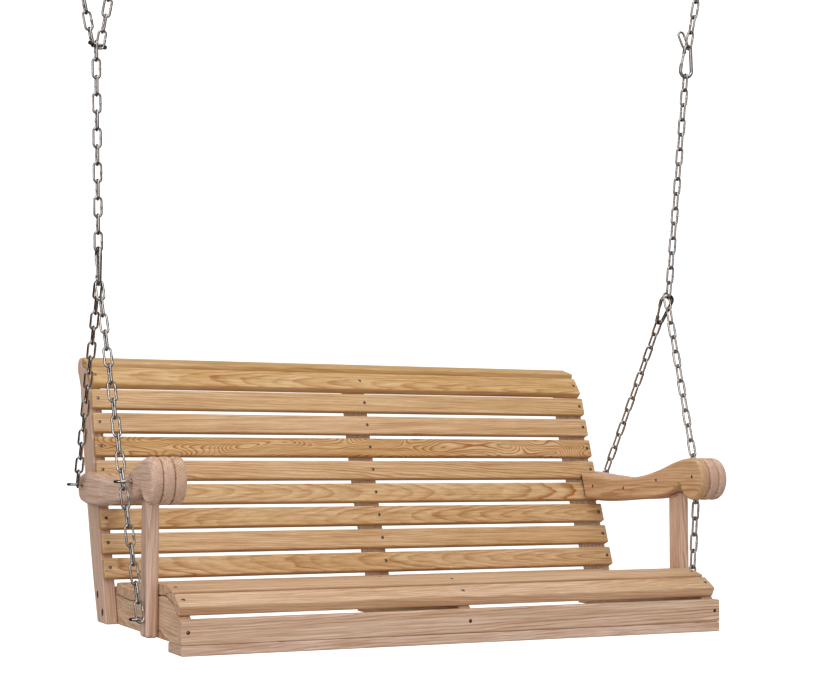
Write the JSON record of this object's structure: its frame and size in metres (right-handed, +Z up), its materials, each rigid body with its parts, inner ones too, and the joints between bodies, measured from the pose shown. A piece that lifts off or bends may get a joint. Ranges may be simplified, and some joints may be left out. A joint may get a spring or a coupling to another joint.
{
  "type": "porch swing seat",
  "caption": "Slatted timber porch swing seat with a reclined, rolled-over back and scroll arms, hung on steel chain and spring hooks from two ceiling plates.",
  "frame": {"origin": "on the ceiling, above the middle of the bench and of the line on which it swings", "axes": "+Z up, -Y the way the sitters face, +X to the right of someone facing the swing"},
  "size_m": [1.539, 0.7967, 1.4947],
  "materials": {
    "cypress": "planed, clear exterior oil, orange-brown grain",
    "zinc_steel": "bright zinc plate",
    "plate_steel": "satin zinc plate"
  },
  "bodies": {
    "ceiling": {"ceiling_hanger_left": "plate_steel", "ceiling_hanger_right": "plate_steel"},
    "hanger_left": {"upper_chain_left_outer": "zinc_steel", "upper_chain_left_inner": "zinc_steel", "top_carabiner_left_body": "zinc_steel", "main_chain_left": "zinc_steel", "fork_carabiner_left_body": "zinc_steel"},
    "hanger_right": {"upper_chain_right": "zinc_steel", "top_carabiner_right_body": "zinc_steel", "main_chain_right": "zinc_steel"},
    "bench": {"arm_ply_inner_left": "cypress", "arm_ply_inner_right": "cypress", "arm_ply_middle_left": "cypress", "arm_ply_middle_right": "cypress", "arm_ply_outer_left": "cypress", "arm_ply_outer_right": "cypress", "arm_post_left": "cypress", "arm_post_right": "cypress", "back_slat_1": "cypress", "back_slat_2": "cypress", "back_slat_3": "cypress", "back_slat_4": "cypress", "back_slat_5": "cypress", "back_slat_6": "cypress", "back_slat_7": "cypress", "back_slat_8": "cypress", "back_upright_centre": "cypress", "back_upright_left": "cypress", "back_upright_right": "cypress", "eye_front_left": "zinc_steel", "eye_front_right": "zinc_steel", "eye_lower_left": "zinc_steel", "eye_lower_right": "zinc_steel", "eye_rear_left": "zinc_steel", "eye_rear_right": "zinc_steel", "fork_carabiner_right_body": "zinc_steel", "front_apron": "cypress", "front_chain_left": "zinc_steel", "front_chain_right": "zinc_steel", "lower_front_board": "cypress", "rear_chain_left": "zinc_steel", "rear_chain_right": "zinc_steel", "roll_slat_front": "cypress", "roll_slat_top": "cypress", "seat_rail_centre": "cypress", "seat_rail_left": "cypress", "seat_rail_right": "cypress", "seat_slat_1": "cypress", "seat_slat_2": "cypress", "seat_slat_3": "cypress", "seat_slat_4": "cypress", "seat_slat_5": "cypress", "seat_slat_6": "cypress", "seat_slat_7": "cypress", "seat_slat_8": "cypress", "seat_slat_9": "cypress"},
    "gate_top_left": {"top_carabiner_left_gate": "zinc_steel"},
    "gate_fork_left": {"fork_carabiner_left_gate": "zinc_steel"},
    "gate_top_right": {"top_carabiner_right_gate": "zinc_steel"},
    "gate_fork_right": {"fork_carabiner_right_gate": "zinc_steel"}
  },
  "joints": [
    {"name": "swing_left", "type": "hinge", "parent": "ceiling", "child": "hanger_left", "pos_m": [-0.702, 0, -0.0355], "axis": [1, 0, 0], "range_deg": [-30, 30]},
    {"name": "swing_right", "type": "hinge", "parent": "ceiling", "child": "hanger_right", "pos_m": [0.657, 0, -0.0355], "axis": [1, 0, 0], "range_deg": [-30, 30]},
    {"name": "bench_tilt", "type": "hinge", "parent": "hanger_left", "child": "bench", "pos_m": [-0.66774, 0, -0.7895], "axis": [0.9997, 0, 0.0254], "range_deg": [-15, 15]},
    {"name": "top_gate_left", "type": "hinge", "parent": "hanger_left", "child": "gate_top_left", "pos_m": [-0.66004, 0.04978, -0.30982], "axis": [-0.185, 0.1814, -0.9659], "range_deg": [0, 25], "stiffness_Nm_per_rad": 0.12, "springref_deg": -8.59},
    {"name": "fork_gate_left", "type": "hinge", "parent": "hanger_left", "child": "gate_fork_left", "pos_m": [-0.6684, 0.0086, -0.77502], "axis": [0.9989, 0, 0.046], "range_deg": [0, 25], "stiffness_Nm_per_rad": 0.12, "springref_deg": -8.59},
    {"name": "top_gate_right", "type": "hinge", "parent": "hanger_right", "child": "gate_top_right", "pos_m": [0.68681, 0, -0.18767], "axis": [0, -1, 0], "range_deg": [0, 25], "stiffness_Nm_per_rad": 0.12, "springref_deg": -8.59},
    {"name": "fork_gate_right", "type": "hinge", "parent": "bench", "child": "gate_fork_right", "pos_m": [0.65847, 0.02628, -0.80622], "axis": [0, 0.8879, 0.4601], "range_deg": [0, 25], "stiffness_Nm_per_rad": 0.12, "springref_deg": -8.59}
  ],
  "couplings": [
    {"joint": "swing_right", "follows": "swing_left", "ratio": 1}
  ]
}
